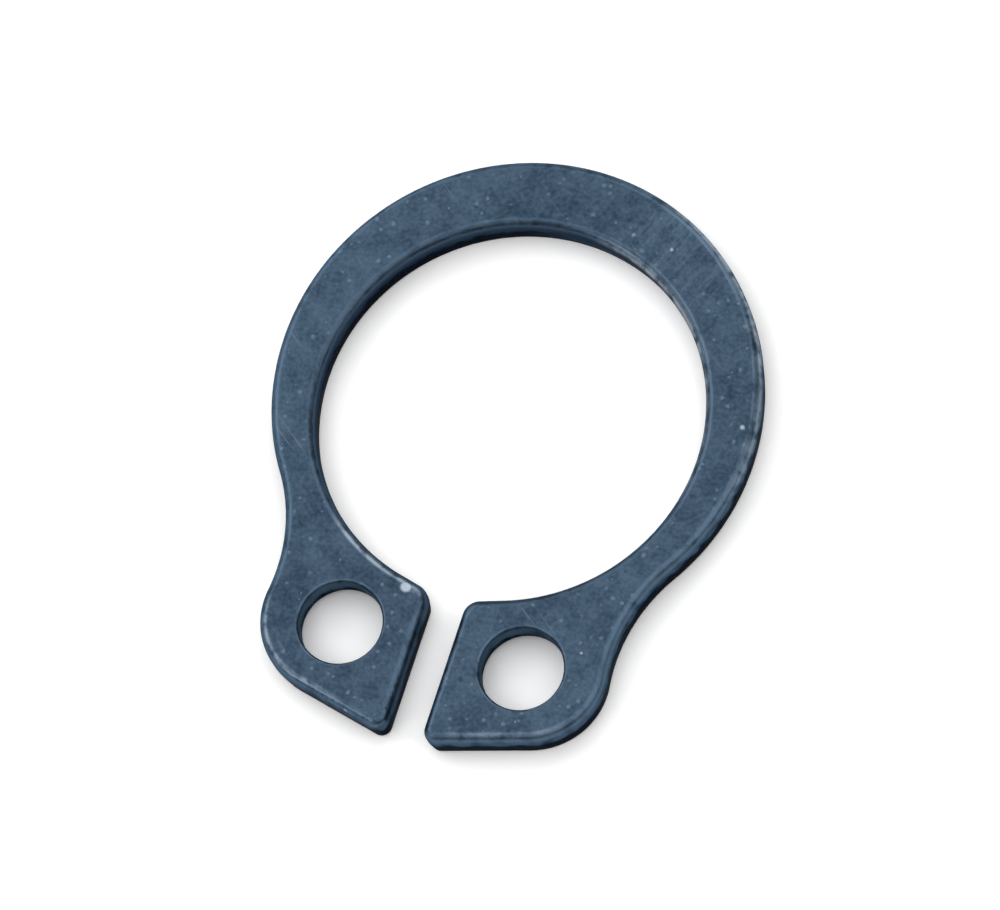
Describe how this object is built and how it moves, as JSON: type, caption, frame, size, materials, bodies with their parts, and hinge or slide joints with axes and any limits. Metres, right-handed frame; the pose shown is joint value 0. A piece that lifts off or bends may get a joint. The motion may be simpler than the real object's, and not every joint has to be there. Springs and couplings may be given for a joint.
{
  "type": "external retaining ring",
  "caption": "External retaining ring for a shaft groove: a tapered open spring-steel band whose round-shouldered lugs have plier holes.",
  "frame": {"origin": "centre of the bore at mid thickness", "axes": "+Z along the shaft's axis towards the side with the rounder edges, -Y towards the gap and its lugs"},
  "size_m": [0.0118, 0.0145, 0.001],
  "materials": {
    "blackened_spring_steel": "satin blue-black phosphated spring steel, tumbled edges"
  },
  "bodies": {
    "root": {"retaining_ring": "blackened_spring_steel"}
  },
  "joints": []
}
